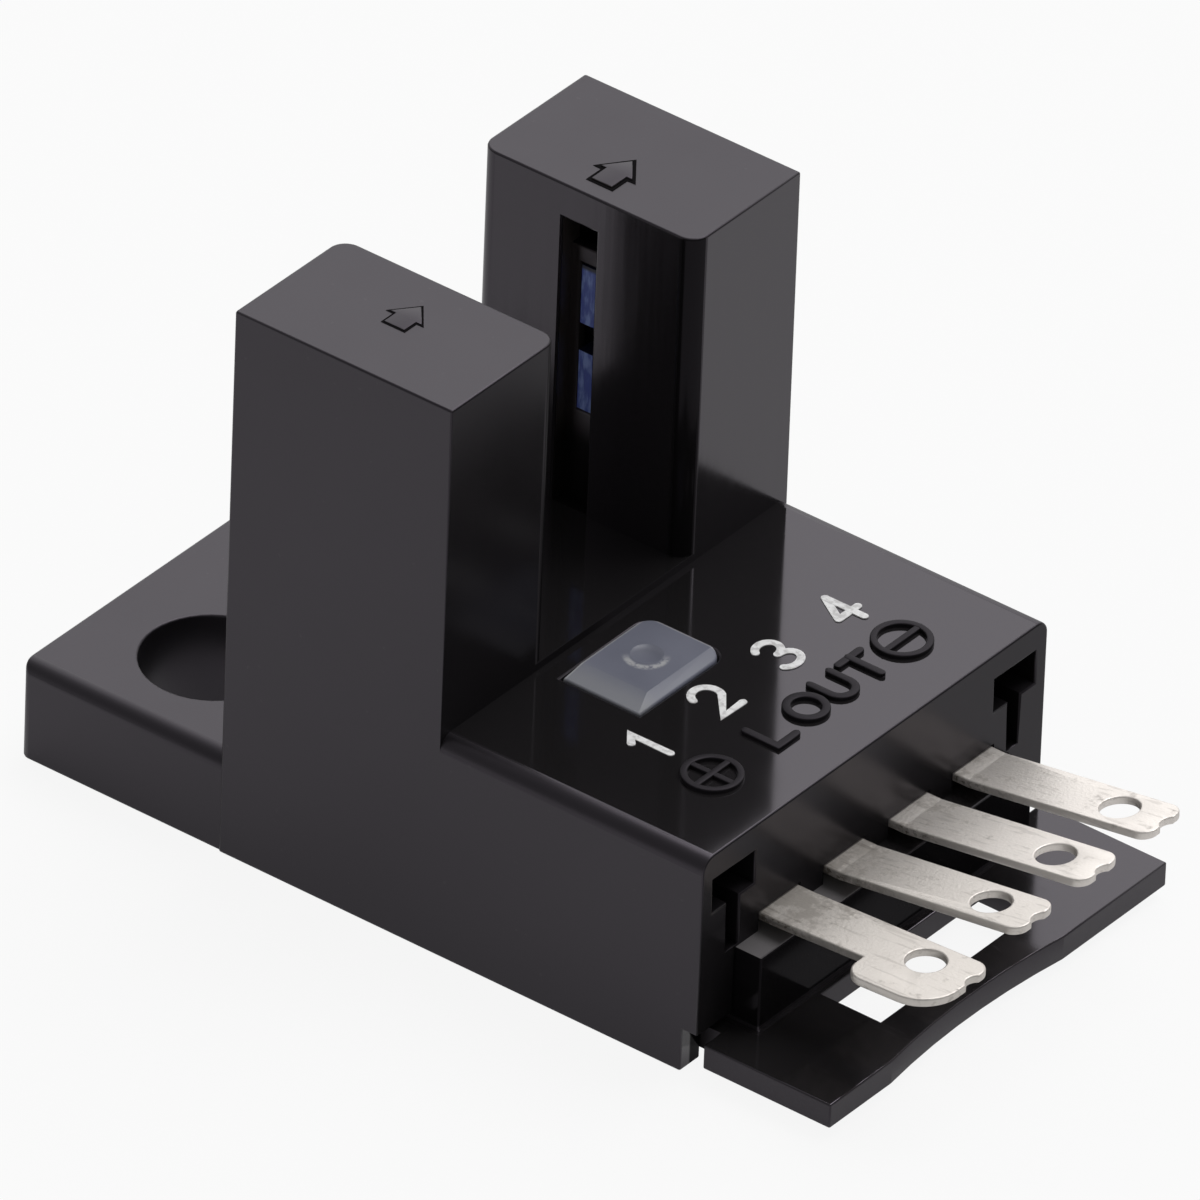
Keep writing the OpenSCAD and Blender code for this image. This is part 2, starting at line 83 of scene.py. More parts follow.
# Where finishes, painted light and painted shade change, with soft edges: distances from the middle plane,
# heights, distances from the mark
SLIT_SIDES = (2.55, 2.6, 3.3, 3.4)
KEY_SIDES = (4.3, 4.4, 6.02, 6.1)
KEY_TOP = (5.3, 5.24)
SLIT_SHADE = (8.6, 7.6)
RING = (0.34, 0.42, 0.48, 0.58)
HOLLOW = (0.42, 0.3)


# Shader kit

class Socket:
    """A node's output in a finish. Arithmetic on it adds Math nodes."""

    def __init__(self, finish, output):
        self.finish = finish
        self.output = output

    def math(self, operation, first, second):
        return self.finish.add("Math", {"operation": operation}, {0: first, 1: second})

    def __add__(self, other):
        return self.math("ADD", self, other)

    def __radd__(self, other):
        return self.math("ADD", other, self)

    def __sub__(self, other):
        return self.math("SUBTRACT", self, other)

    def __rsub__(self, other):
        return self.math("SUBTRACT", other, self)

    def __mul__(self, other):
        return self.math("MULTIPLY", self, other)

    def __rmul__(self, other):
        return self.math("MULTIPLY", other, self)

    def or_more(self, other):
        return self.math("MAXIMUM", self, other)


class Finish:
    """The node tree of a material or of the world, filled one node at a time."""

    def __init__(self, owner):
        owner.use_nodes = True
        self.owner = owner
        self.tree = owner.node_tree
        self.tree.nodes.clear()

    def add(self, kind, settings, sockets, output=0):
        """Adds a node: its settings come first, then the values or links of its sockets."""
        node = self.tree.nodes.new("ShaderNode" + kind)
        for key, value in settings.items():
            setattr(node, key, value)
        for key, value in sockets.items():
            if isinstance(value, Socket):
                self.tree.links.new(value.output, node.inputs[key])
            else:
                node.inputs[key].default_value = value
        return Socket(self, node.outputs[output]) if node.outputs else None

    def place(self):
        """The point on the object in millimetres."""
        point = self.add("TexCoord", {}, {}, "Object")
        return self.add("VectorMath", {"operation": "SCALE"}, {0: point, "Scale": 1 / MM})

    def parts(self, vector):
        """The three numbers of a vector."""
        return [self.add("SeparateXYZ", {}, {0: vector}, axis) for axis in "XYZ"]

    def facing(self):
        """The three numbers of the surface's own direction."""
        return self.parts(self.add("NewGeometry", {}, {}, "True Normal"))

    def stretched(self, vector, scale):
        return self.add("VectorMath", {"operation": "MULTIPLY"}, {0: vector, 1: scale})

    def noise(self, vector, scale, detail=2, roughness=0.5):
        return self.add(
            "TexNoise", {}, {"Vector": vector, "Scale": scale, "Detail": detail, "Roughness": roughness}
        )

    def step(self, value, low, high):
        """Rises smoothly from 0 at low to 1 at high, or falls where low is the larger."""
        return self.add(
            "MapRange",
            {"interpolation_type": "SMOOTHSTEP"},
            {"Value": value, "From Min": low, "From Max": high},
        )

    def band(self, value, edges):
        """1 between the middle two of four rising edges, 0 outside the outer two."""
        start, full, fade, stop = edges
        return self.step(value, start, full) * self.step(value, stop, fade)

    def mix(self, factor, first, second):
        return self.add("Mix", {"data_type": "RGBA"}, {0: factor, 6: first, 7: second}, 2)

    def bump(self, height, depth):
        """A relief whose full height is depth in metres."""
        return self.add("Bump", {}, {"Height": height, "Distance": depth, "Strength": 1.0})

    def matted_and_shaded(self, shader, amount):
        """A shader with part of its gloss taken by a dull black: a dull finish on some faces, painted shade
        on others.
        """
        matt_and_shade = self.add("BsdfDiffuse", {}, {"Color": MATT_AND_SHADE_BLACK})
        return self.add("MixShader", {}, {0: amount, 1: shader, 2: matt_and_shade})

    def surface(self, shader):
        self.add("OutputMaterial", {}, {"Surface": shader})
        return self.owner


def new_finish(name):
    return Finish(bpy.data.materials.new(name))


def shifted(start, offsets):
    return [start + offset for offset in offsets]


def squared(values):
    return [value ** 2 for value in values]


# Finishes

BLACK = (0.0075, 0.007, 0.0077, 1)
DUSTY_BLACK = (0.02, 0.0185, 0.019, 1)
DULL_BROWN = (0.026, 0.022, 0.019, 1)
# Dull black mixed into finishes: a dull finish on some faces, painted shade on others
MATT_AND_SHADE_BLACK = (0.006, 0.0055, 0.006, 1)
SCUFFED = (0.13, 0.125, 0.125, 1)
PLASTIC_TINT = (0.95, 0.85, 1, 1)
MILKY = (0.13, 0.137, 0.18, 1)
CLOUDY = (0.17, 0.177, 0.225, 1)
MILKY_SHADED_HOLLOW = (0.1, 0.105, 0.14, 1)
MILKY_LIT_SIDE = (0.2, 0.205, 0.23, 1)
PAINTED_HIGHLIGHT = (0.5, 0.5, 0.5, 1)
GREY_TIN = (0.68, 0.64, 0.6, 1)
BRIGHT_TIN = (0.8, 0.755, 0.715, 1)
SOIL = (0.16, 0.14, 0.12, 1)
DEEP_BLUE = (0.09, 0.14, 0.55, 1)
STREAK_HIGHLIGHT_BLUE = (0.3, 0.42, 0.85, 1)
SHADED_BLUE = (0.012, 0.014, 0.04, 1)
THIN_INK = (0.58, 0.57, 0.57, 1)
FULL_INK = (0.88, 0.88, 0.88, 1)
BLACK_PLASTIC_IOR = 1.55
LIGHT_PLASTIC_IOR = 1.5


def moulded_black():
    """The case: satin, polished on the base top, smooth on the ends and in the slot, dull on its raised
    signs; painted shade as a dull black on its end faces, its end rounds, its keyways, round the arrows'
    feet and low in the slit.
    """
    f = new_finish("moulded_black")
    place = f.place()
    x, y, z = f.parts(place)
    nx, ny, nz = f.facing()
    across = y * y
    to_slot = 0 - ny * y.math("SIGN", y, 0)
    from_beam = x - BEAM_X
    raised = f.step(x, TOWER_END_X + 0.3, TOWER_END_X + 0.4) * f.step(z, BASE_TOP + 0.01, BASE_TOP + 0.03)
    at_base_top = f.band(z, shifted(BASE_TOP, (-0.1, -0.02, 0.4, 0.5)))
    polished = f.step(nz, 0.995, 0.9995) * at_base_top * (1 - raised)
    slit = f.band(across, squared(SLIT_SIDES)) * f.step(from_beam * from_beam, 0.4, 0.3)
    upright = f.step(nx.or_more(to_slot), 0.5, 0.7)
    drawn = upright * f.step(x, TOWER_X - 0.1, TOWER_X) * (1 - slit)
    base_end = f.step(x, END_X - 0.2, END_X - 0.1) * upright
    tower_end = f.band(x, shifted(TOWER_END_X, (-0.65, -0.45, 0.1, 0.2)))
    shaded_end = tower_end * upright * f.step(y, 0, -1)
    # The two end faces: their streaks calmer, and darkened by the dull black as painted shade
    calm_and_shaded = base_end.or_more(shaded_end)
    # Painted shade: the rounds where the towers' ends meet the slot, darkened by the dull black
    turn = f.step(nx * to_slot, 0.02, 0.15) * tower_end
    # Painted shade: the keyways at the base's end, darkened by the dull black
    at_key = f.band(x, shifted(END_X, (-2.6, -2.5, -0.05, -0.005)))
    key = at_key * f.band(across, squared(KEY_SIDES)) * f.step(z, *KEY_TOP)
    # Painted shadow: a thin dark line round each arrow's foot, darkened by the dull black
    arrow_foot_shadow = f.band(z, shifted(TOWER_TOP, (0.002, 0.006, 0.016, 0.022)))
    # Painted shade: the slit's lower part, darkened by the dull black
    shaded_low_slit = slit * f.step(z, *SLIT_SHADE)
    grain = f.noise(place, 24, 2)
    cloud = f.noise(place, 0.6, 4)
    streaks = f.noise(f.stretched(place, (9, 9, 0.3)), 1, 3)
    specks = f.step(f.noise(place, 5.5, 1), 0.76, 0.8)
    gloss = 0.31 - 0.13 * calm_and_shaded - (0.16 - 0.12 * calm_and_shaded) * streaks
    roughness = 0.36 + 0.06 * cloud - 0.31 * polished - gloss * drawn + 0.14 * raised
    relief = grain * (1 - polished - drawn + 4 * raised) + streaks * drawn * (0.6 - 0.55 * calm_and_shaded)
    dust = specks * 0.8 + cloud * 0.1 + polished * 0.35 + drawn * 0.4
    shader = f.add(
        "BsdfPrincipled",
        {},
        {
            "Base Color": f.mix(slit * upright, f.mix(dust, BLACK, DUSTY_BLACK), DULL_BROWN),
            "Roughness": roughness,
            "IOR": BLACK_PLASTIC_IOR,
            "Specular Tint": PLASTIC_TINT,
            "Normal": f.bump(relief, 0.8 * MICRON),
        },
    )
    # The dull black mix: the raised signs' dull finish, and painted shade on the end faces, the end rounds,
    # the keyways, round the arrows' feet and low in the slit
    matt_and_shade = (0.5 * raised).or_more(0.55 * calm_and_shaded).or_more(0.82 * turn)
    matt_and_shade = matt_and_shade.or_more(0.85 * key).or_more(0.97 * arrow_foot_shadow).or_more(0.85 * shaded_low_slit)
    return f.surface(f.matted_and_shaded(shader, matt_and_shade))


def cover_black():
    """The bottom cover: glossy with fine scratches, greyer on its edges, its shelf scuffed at one end;
    painted shade as a dull black on the shelf block's upright faces and on the shelf towards +Y.
    """
    f = new_finish("cover_black")
    place = f.place()
    y, z = f.parts(place)[1:]
    nz = f.facing()[2]
    flat = f.step(nz, 0.7, 0.95)
    above = f.step(z, cover_low.z + 0.7, cover_low.z + 0.8)
    smooth = flat.or_more(above)
    shelf = flat * f.step(z, SHELF_TOP - 0.1, SHELF_TOP - 0.05)
    scuff = shelf * f.step(y, 0.4, -1.2)
    grain = f.noise(place, 16, 3)
    scratches = f.step(f.noise(f.stretched(place, (0.8, 9, 4)), 1.4, 2), 0.66, 0.7)
    colour = f.mix(scratches * 0.3 + 0.7 * flat + grain * (1 - smooth), BLACK, DUSTY_BLACK)
    shader = f.add(
        "BsdfPrincipled",
        {},
        {
            "Base Color": f.mix(scuff, colour, SCUFFED),
            "Roughness": 0.45 - 0.33 * smooth + 0.15 * scratches * flat + 0.35 * scuff,
            "IOR": BLACK_PLASTIC_IOR,
            "Specular Tint": PLASTIC_TINT,
            "Normal": f.bump(grain * (1 - smooth), 2 * MICRON),
        },
    )
    # Painted shade: the shelf block's upright faces, and the shelf towards +Y under the terminals, darkened
    # by the dull black
    matt_and_shade = (0.82 * above * (1 - flat)).or_more(0.3 * shelf * f.step(y, -0.6, 0.6))
    return f.surface(f.matted_and_shaded(shader, matt_and_shade))


def milky_plastic():
    """The indicator window: cloudy, slightly blue, with painted highlights on its round mark's near rim and
    along two of its edges, painted light on its flank towards -Y and painted shade in its hollow.
    """
    f = new_finish("milky_plastic")
    place = f.place()
    x, y = f.parts(place)[:2]
    cloud = f.noise(place, 0.9, 3)
    grain = f.noise(place, 9, 2)
    from_mark_x = x - MARK[0]
    from_mark_y = y - MARK[1]
    reach = from_mark_x * from_mark_x + from_mark_y * from_mark_y
    # Painted highlight: light crescents on the round mark's near rim
    near_side = f.step(0.6 * from_mark_x - 0.8 * from_mark_y, -0.1, 0.25)
    crescent_highlight = f.band(reach, squared(RING)) * near_side * f.step(grain, 0.3, 0.55)
    # Inside the round hollow: rougher, and darker as painted shade
    hollow = f.step(reach, *squared(HOLLOW))
    # Painted highlight: light lines along the window's -X and +Y edges
    edge = f.step(x, WINDOW_X + 0.09, WINDOW_X + 0.03)
    edge = edge.or_more(f.step(y, WINDOW_Y - 0.09, WINDOW_Y - 0.03))
    # Painted light: the window's flank towards -Y is lighter
    side = f.step(y, window_low.y + 1.3, window_low.y + 0.6)
    colour = f.mix(cloud, MILKY, CLOUDY)
    colour = f.mix(side, f.mix(hollow * 0.3, colour, MILKY_SHADED_HOLLOW), MILKY_LIT_SIDE)
    colour = f.mix((0.75 * crescent_highlight).or_more(0.6 * edge), colour, PAINTED_HIGHLIGHT)
    shader = f.add(
        "BsdfPrincipled",
        {},
        {
            "Base Color": colour,
            "Roughness": 0.36 + 0.1 * cloud + 0.25 * hollow,
            "IOR": LIGHT_PLASTIC_IOR,
            "Normal": f.bump(grain, 1.5 * MICRON),
        },
    )
    return f.surface(shader)


def tin_plate():
    """The terminals: dull bright tin, scratched along, soiled and burred towards the case, one side more."""
    f = new_finish("tin_plate")
    place = f.place()
    x, y = f.parts(place)[:2]
    nz = f.facing()[2]
    cloud = f.noise(place, 2.2, 5, 0.65)
    grain = f.noise(place, 14, 3)
    lines = f.noise(f.stretched(place, (0.5, 9, 9)), 1, 3)
    root = f.step(x, END_X + 2.6, END_X)
    worn = root * f.step(y, 2.5, -4)
    burr = f.step(f.noise(place, 6, 3), 0.5, 0.58) * f.step(nz, 0.5, 0.2) * root
    soil = f.step(cloud + 0.12 * root + 0.16 * worn, 0.58, 0.78) + burr
    scratches = f.step(lines, 0.57, 0.66)
    tin = f.mix(f.step(y, -3, 3), GREY_TIN, BRIGHT_TIN)
    shader = f.add(
        "BsdfPrincipled",
        {},
        {
            "Base Color": f.mix(soil * 0.55 + scratches * 0.2, tin, SOIL),
            "Metallic": 0.7 - 0.2 * soil,
            "Roughness": 0.4 + 0.16 * cloud + 0.1 * soil,
            "Normal": f.bump(grain * 1.2 + lines * 0.8, 6 * MICRON),
        },
    )
    return f.surface(shader)


def blue_plastic():
    """The clips that hold the optical devices: blue on their lips with pale streaks of painted highlight, in
    shadow above them.
    """
    f = new_finish("blue_plastic")
    place = f.place()
    z = f.parts(place)[2]
    nz = f.facing()[2]
    grain = f.noise(f.stretched(place, (9, 9, 2)), 1, 3)
    shade = f.step(z, clip_high.z - 0.15, clip_high.z - 0.05).or_more(f.step(nz, 0.5, 0.7))
    # Painted highlight: pale streaks on the blue
    blue = f.mix(f.step(grain, 0.4, 0.65), DEEP_BLUE, STREAK_HIGHLIGHT_BLUE)
    shader = f.add(
        "BsdfPrincipled",
        {},
        {
            "Base Color": f.mix(shade, blue, SHADED_BLUE),
            "Roughness": 0.35 + 0.1 * grain,
            "IOR": LIGHT_PLASTIC_IOR,
            "Normal": f.bump(grain, 3 * MICRON),
        },
    )
    return f.surface(shader)


def speckled(name, dark, light, roughness, metallic, scale):
    """An inner part's finish: two close colours mottled together over a fine grain."""
    f = new_finish(name)
    place = f.place()
    mottle = f.noise(place, scale, 4)
    shader = f.add(
        "BsdfPrincipled",
        {},
        {
            "Base Color": f.mix(mottle, dark, light),
            "Metallic": metallic,
            "Roughness": roughness + 0.12 * mottle,
            "Normal": f.bump(f.noise(place, 4 * scale, 2), 3 * MICRON),
        },
    )
    return f.surface(shader)


def white_ink():
    """Printed numbers: chalky white, thin in places."""
    f = new_finish("white_ink")
    place = f.place()
    blotch = f.step(f.noise(place, 7, 3), 0.3, 0.6)
    shader = f.add(
        "BsdfPrincipled",
        {},
        {
            "Base Color": f.mix(blotch, THIN_INK, FULL_INK),
            "Roughness": 0.55 + 0.1 * blotch,
            "Normal": f.bump(f.noise(place, 18, 2), 4 * MICRON),
        },
    )
    return f.surface(shader)


CASE_FINISH = moulded_black()
COVER_FINISH = cover_black()
WINDOW_FINISH = milky_plastic()
TIN_FINISH = tin_plate()
BLUE_FINISH = blue_plastic()
INK_FINISH = white_ink()
LEAD_FINISH = speckled("lead_metal", (0.4, 0.39, 0.37, 1), (0.6, 0.58, 0.55, 1), 0.3, 1.0, 5)
BOARD_FINISH = speckled("board_green", (0.012, 0.07, 0.035, 1), (0.02, 0.11, 0.055, 1), 0.3, 0.0, 3)
EPOXY_FINISH = speckled("dark_epoxy", (0.012, 0.01, 0.014, 1), (0.03, 0.026, 0.034, 1), 0.28, 0.0, 4)
PALE_EPOXY_FINISH = speckled("pale_epoxy", (0.5, 0.5, 0.46, 1), (0.66, 0.65, 0.6, 1), 0.3, 0.0, 4)
CHIP_FINISH = speckled("chip_ceramic", (0.02, 0.02, 0.022, 1), (0.05, 0.05, 0.052, 1), 0.4, 0.0, 6)
TAN_FINISH = speckled("tan_ceramic", (0.4, 0.3, 0.19, 1), (0.52, 0.41, 0.28, 1), 0.4, 0.0, 6)

NODE_FINISHES = {
    "circuit_board": BOARD_FINISH,
    "emitter_led": EPOXY_FINISH,
    "receiver_ic": EPOXY_FINISH,
    "emitter_clip": BLUE_FINISH,
    "receiver_clip": BLUE_FINISH,
    "emitter_anode_lead": LEAD_FINISH,
    "emitter_cathode_lead": LEAD_FINISH,
    "receiver_supply_lead": LEAD_FINISH,
    "receiver_output_lead": LEAD_FINISH,
    "receiver_ground_lead": LEAD_FINISH,
    "indicator_led": PALE_EPOXY_FINISH,
    "emitter_resistor": CHIP_FINISH,
    "indicator_resistor": CHIP_FINISH,
    "output_transistor": EPOXY_FINISH,
    "protection_diode": EPOXY_FINISH,
    "bypass_capacitor": TAN_FINISH,
}


# Mesh kit

WELD = 1e-4
FLAT_ANGLE = math.radians(0.5)
SHARP_ANGLE = math.radians(35)
CREASE_ANGLE = math.radians(50)
# Faces broader than this are flat; narrower ones are strips of a round
BROAD = 0.22
MITRE_LIMIT = 0.5
# A round end is made in steps, and stops a share of a step short of a point
CAP_STEPS = 4
CAP_REST = 0.2


@contextmanager
def editing(mesh):
    """Opens a mesh for editing and writes it back."""
    bm = bmesh.new()
    bm.from_mesh(mesh)
    yield bm
    bm.to_mesh(mesh)
    bm.free()


def join_flats(bm):
    """Welds a mesh and joins up its flat faces."""
    bmesh.ops.remove_doubles(bm, verts=bm.verts, dist=WELD)
    bmesh.ops.dissolve_limit(bm, angle_limit=FLAT_ANGLE, verts=bm.verts, edges=bm.edges)


def new_piece(name, mesh, finish, node=None):
    """A finished mesh as a piece of the object, standing for a node where one is named."""
    mesh.shade_smooth()
    mesh.set_sharp_from_angle(angle=CREASE_ANGLE)
    with editing(mesh) as bm:
        for face in bm.faces:
            face.smooth = face.calc_area() < BROAD * face.calc_perimeter()
    mesh.transform(Matrix.Scale(MM, 4))
    mesh.materials.clear()
    mesh.materials.append(finish)
    piece = bpy.data.objects.new(name, mesh)
    scene.collection.objects.link(piece)
    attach(piece, "root")
    if node:
        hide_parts(node)


def tidy_copy(node):
    """A copy of a node's mesh in millimetres, welded, its flat faces joined up."""
    mesh = NODES[node].data.copy()
    mesh.transform(Matrix.Scale(1 / MM, 4))
    with editing(mesh) as bm:
        join_flats(bm)
    return mesh


def round_edges(mesh, radius, segments=2, keep=lambda edge: True):
    """Rounds the sharp outward edges that keep accepts."""
    with editing(mesh) as bm:
        bm.normal_update()
        sharp = [e for e in bm.edges if e.calc_face_angle_signed(0) > SHARP_ANGLE and keep(e)]
        bmesh.ops.bevel(
            bm, geom=sharp, offset=radius, offset_type="OFFSET", segments=segments,
            profile=0.5, affect="EDGES", clamp_overlap=False,
        )
        bmesh.ops.remove_doubles(bm, verts=bm.verts, dist=WELD)
        bmesh.ops.dissolve_degenerate(bm, dist=WELD, edges=bm.edges)


def joined(meshes):
    """One mesh of several closed skins that stand in each other."""
    bm = bmesh.new()
    for mesh in meshes:
        bm.from_mesh(mesh)
    return new_mesh(bm)


def arc(centre, radius, start, stop, steps):
    """Points along an arc with a radius across and one upwards, angles in degrees."""
    angles = [math.radians(start + (stop - start) * i / steps) for i in range(steps + 1)]
    return [(centre[0] + radius[0] * math.cos(a), centre[1] + radius[1] * math.sin(a)) for a in angles]


def course(path, i, closed):
    """The direction along a path at point i, and across it so that corners keep their width."""
    count = len(path)
    here = Vector(path[i])
    before = Vector(path[i - 1]) if closed or i > 0 else None
    after = Vector(path[(i + 1) % count]) if closed or i < count - 1 else None
    arrive = (here - before if before else after - here).normalized()
    leave = (after - here if after else here - before).normalized()
    along = (arrive + leave).normalized()
    across = Vector((-along.y, along.x))
    return along, across / max(along.dot(arrive), MITRE_LIMIT)


def swept(path, profile, closed=False):
    """A closed skin swept along a flat path by (across, height) points; open ends are rounded off."""
    half = max(across for across, height in profile)
    rings = []
    for i, point in enumerate(path):
        rings.append((Vector(point), course(path, i, closed)[1]))
    if not closed:
        start_along, start_across = course(path, 0, False)
        stop_along, stop_across = course(path, len(path) - 1, False)
        for step in range(1, CAP_STEPS + 1):
            angle = math.pi / 2 * step / (CAP_STEPS + CAP_REST)
            reach = half * math.sin(angle)
            rings.insert(0, (Vector(path[0]) - start_along * reach, start_across * math.cos(angle)))
            rings.append((Vector(path[-1]) + stop_along * reach, stop_across * math.cos(angle)))
    bm = bmesh.new()
    loops = []
    for centre, across in rings:
        loops.append([bm.verts.new((*(centre + across * offset), height)) for offset, height in profile])
    for one, other in zip(loops, loops[1:] + loops[:1] if closed else loops[1:]):
        for k in range(len(profile)):
            bm.faces.new((one[k - 1], one[k], other[k], other[k - 1]))
    if not closed:
        bm.faces.new(loops[0])
        bm.faces.new(loops[-1])
    return new_mesh(bm)


def prism(outline, low, high):
    """A closed outline raised from low to high."""
    bm = bmesh.new()
    foot = [bm.verts.new((x, y, low)) for x, y in outline]
    head = [bm.verts.new((x, y, high)) for x, y in outline]
    for k in range(len(outline)):
        bm.faces.new((foot[k - 1], foot[k], head[k], head[k - 1]))
    bm.faces.new(foot)
    bm.faces.new(head)
    return new_mesh(bm)


def new_mesh(bm):
    bmesh.ops.recalc_face_normals(bm, faces=bm.faces)
    mesh = bpy.data.meshes.new("part")
    bm.to_mesh(mesh)
    bm.free()
    return mesh


# Moulded signs: a row of raised beads beside the terminals and an arrow on each tower

SIGN_ROW_X = END_X - 1.94
SIGN_HALF_H = 0.46
PLUS_Y = -3.58
L_Y = -1.42
OUT_Y = (-0.11, 1.0, 2.07)
MINUS_Y = 3.45
CIRCLE_R = 0.65
L_HALF_W = 0.33
O_HALF_W = 0.45
U_HALF_W = 0.36
T_HALF_W = 0.4
ROUND_STEPS = 40
BEAD_W = 0.21
FINE_BEAD_W = 0.17
BEAD_H = 0.11
BEAD_R = 0.03
BEAD_STEP = 0.007
ROOT = 0.06
FOOT_H = 0.01
ARROW_HALF_W = 0.45
SHAFT_HALF_W = 0.29
ARROW_ROUND = 0.02


def bead_profile(width, height):
    """A raised section with rounded shoulders that starts a little under the base top."""
    side = width / 2
    low = BASE_TOP - ROOT
    shoulder = BASE_TOP + height - BEAD_R
    right = arc((side - BEAD_R, shoulder), (BEAD_R, BEAD_R), 0, 90, 3)
    left = arc((BEAD_R - side, shoulder), (BEAD_R, BEAD_R), 90, 180, 3)
    return [(side, low), *right, *left, (-side, low)]


def on_base(path, row_x, middle_y):
    """Lays a sign's points, right and up, on the base: it reads along +Y, its top towards the towers."""
    return [(row_x - up, middle_y + right) for right, up in path]


def full_round(half_w, half_h):
    """Points all round a sign's middle, for a closed path."""
    return arc((0, 0), (half_w, half_h), 0, 360, ROUND_STEPS)[:-1]


def row_signs():
    """Circled plus, L, OUT and circled minus. Strokes that cross differ by a hair in height."""
    h = SIGN_HALF_H
    across = [(-CIRCLE_R, 0), (CIRCLE_R, 0)]
    upright = [(0, -CIRCLE_R), (0, CIRCLE_R)]
    circle = full_round(CIRCLE_R, CIRCLE_R)
    oval = full_round(O_HALF_W, h)
    cup = arc((0, U_HALF_W - h), (U_HALF_W, U_HALF_W), 180, 360, 12)
    fine = FINE_BEAD_W
    loops = [(PLUS_Y, fine, circle), (OUT_Y[0], BEAD_W, oval), (MINUS_Y, fine, circle)]
    strokes = [
        (PLUS_Y, fine, across), (PLUS_Y, fine, upright), (MINUS_Y, fine, across),
        (L_Y, BEAD_W, [(-L_HALF_W, h), (-L_HALF_W, -h), (L_HALF_W, -h)]),
        (OUT_Y[1], BEAD_W, [(-U_HALF_W, h), *cup, (U_HALF_W, h)]),
        (OUT_Y[2], BEAD_W, [(-T_HALF_W, h), (T_HALF_W, h)]), (OUT_Y[2], BEAD_W, [(0, h), (0, -h)]),
    ]
    signs = []
    for y, width, path in loops:
        signs.append(swept(on_base(path, SIGN_ROW_X, y), bead_profile(width, BEAD_H), closed=True))
    for k, (y, width, path) in enumerate(strokes):
        height = BEAD_H - BEAD_STEP * (1 + k % 2)
        signs.append(swept(on_base(path, SIGN_ROW_X, y), bead_profile(width, height)))
    return signs


def arrow(x, base_y, length, head_l, height, line):
    """A broad arrow along +Y, standing on a tower top with a thin line round its foot, which the case's
    finish darkens as painted shadow.
    """
    half = ARROW_HALF_W
    shaft = SHAFT_HALF_W
    shoulder = base_y + length - head_l
    right = [(x + shaft, base_y), (x + shaft, shoulder), (x + half, shoulder), (x, base_y + length)]
    left = [(x - half, shoulder), (x - shaft, shoulder), (x - shaft, base_y)]
    outline = right + left
    mesh = prism(outline, TOWER_TOP - ROOT, TOWER_TOP + height)
    round_edges(mesh, ARROW_ROUND, keep=lambda edge: min(v.co.z for v in edge.verts) > TOWER_TOP)
    foot = [Vector(point) - course(outline, i, True)[1] * line for i, point in enumerate(outline)]
    return joined([mesh, prism(foot, TOWER_TOP - ROOT / 2, TOWER_TOP + FOOT_H)])


# Case with its signs

EDGE_ROUND = 0.05
SKIN = 0.55
END_DEPTH = 0.1
WAY_OUT_H = 0.6


def outer_edge(edge):
    """True on the outer skin, away from the hollows inside and from the shelf's way out."""
    x, y, z = (edge.verts[0].co + edge.verts[1].co) / 2
    inside = abs(y) < case_high.y - SKIN
    in_cavity = inside and TOWER_X + SKIN < x < END_X - EDGE_ROUND and z < BASE_TOP - SKIN
    at_shelf = inside and x > END_X - END_DEPTH and z < SHELF_TOP + WAY_OUT_H
    in_hollow = TOWER_X + SKIN < x < TOWER_END_X - SKIN and z < TOWER_TOP - SKIN
    in_tower = in_hollow and abs(y) > SLOT_HALF + SKIN
    return not (in_cavity or at_shelf or in_tower)


case_mesh = tidy_copy("case")
round_edges(case_mesh, EDGE_ROUND, keep=outer_edge)
near_arrow = arrow(BEAM_X + 0.19, base_y=-4.55, length=0.99, head_l=0.56, height=0.03, line=0.05)
far_arrow = arrow(BEAM_X + 0.17, base_y=3.06, length=1.14, head_l=0.59, height=0.05, line=0.09)
case_mesh = joined([case_mesh, *row_signs(), near_arrow, far_arrow])
new_piece("case_with_signs", case_mesh, CASE_FINISH, "case")


# Printed terminal numbers

INK_T = 0.02
INK_STEP = 0.004
INK_W = 0.2
PRINT_ROW_X = END_X - 3.75
DIGIT_HALF_H = 0.56
DIGIT_HALF_W = 0.36
DIGIT_PITCH = 2.37


def digit_strokes():
    """Strokes of the digits 1 to 4, right and up from each digit's middle."""
    h = DIGIT_HALF_H
    w = DIGIT_HALF_W
    one = [[(-0.6 * w, 0.62 * h), (0.15 * w, h), (0.15 * w, -h)]]
    two = [[*arc((0, h - w), (w, w), 160, -35, 16), (-w, -h), (w, -h)]]
    three = [
        arc((0, h / 2), (0.9 * w, h / 2), 150, -90, 18),
        arc((0, -h / 2), (w, h / 2), 90, -150, 18),
    ]
    four = [
        [(0.35 * w, h), (-w, -0.35 * h)],
        [(-w, -0.35 * h), (w, -0.35 * h)],
        [(0.35 * w, h), (0.35 * w, -h)],
    ]
    return one, two, three, four


def print_numbers():
    """The digits in a row. Each stroke lies a hair above the one before, so that no tops share a plane."""
    low = BASE_TOP - INK_T / 2
    digits = digit_strokes()
    for i, strokes in enumerate(digits):
        middle_y = (i - (len(digits) - 1) / 2) * DIGIT_PITCH
        skins = []
        for k, path in enumerate(strokes):
            high = BASE_TOP + INK_T + INK_STEP * k
            profile = [(INK_W / 2, low), (INK_W / 2, high), (-INK_W / 2, high), (-INK_W / 2, low)]
            skins.append(swept(on_base(path, PRINT_ROW_X, middle_y), profile))
        new_piece(f"print_{i + 1}", joined(skins), INK_FINISH)


print_numbers()


# Terminals, window and cover with rounded edges

TIN_ROUND = 0.045
WINDOW_ROUND = 0.06
COVER_ROUND = 0.04
# An edge steeper than this runs through a strip's thickness
RIM_SLOPE = 0.6


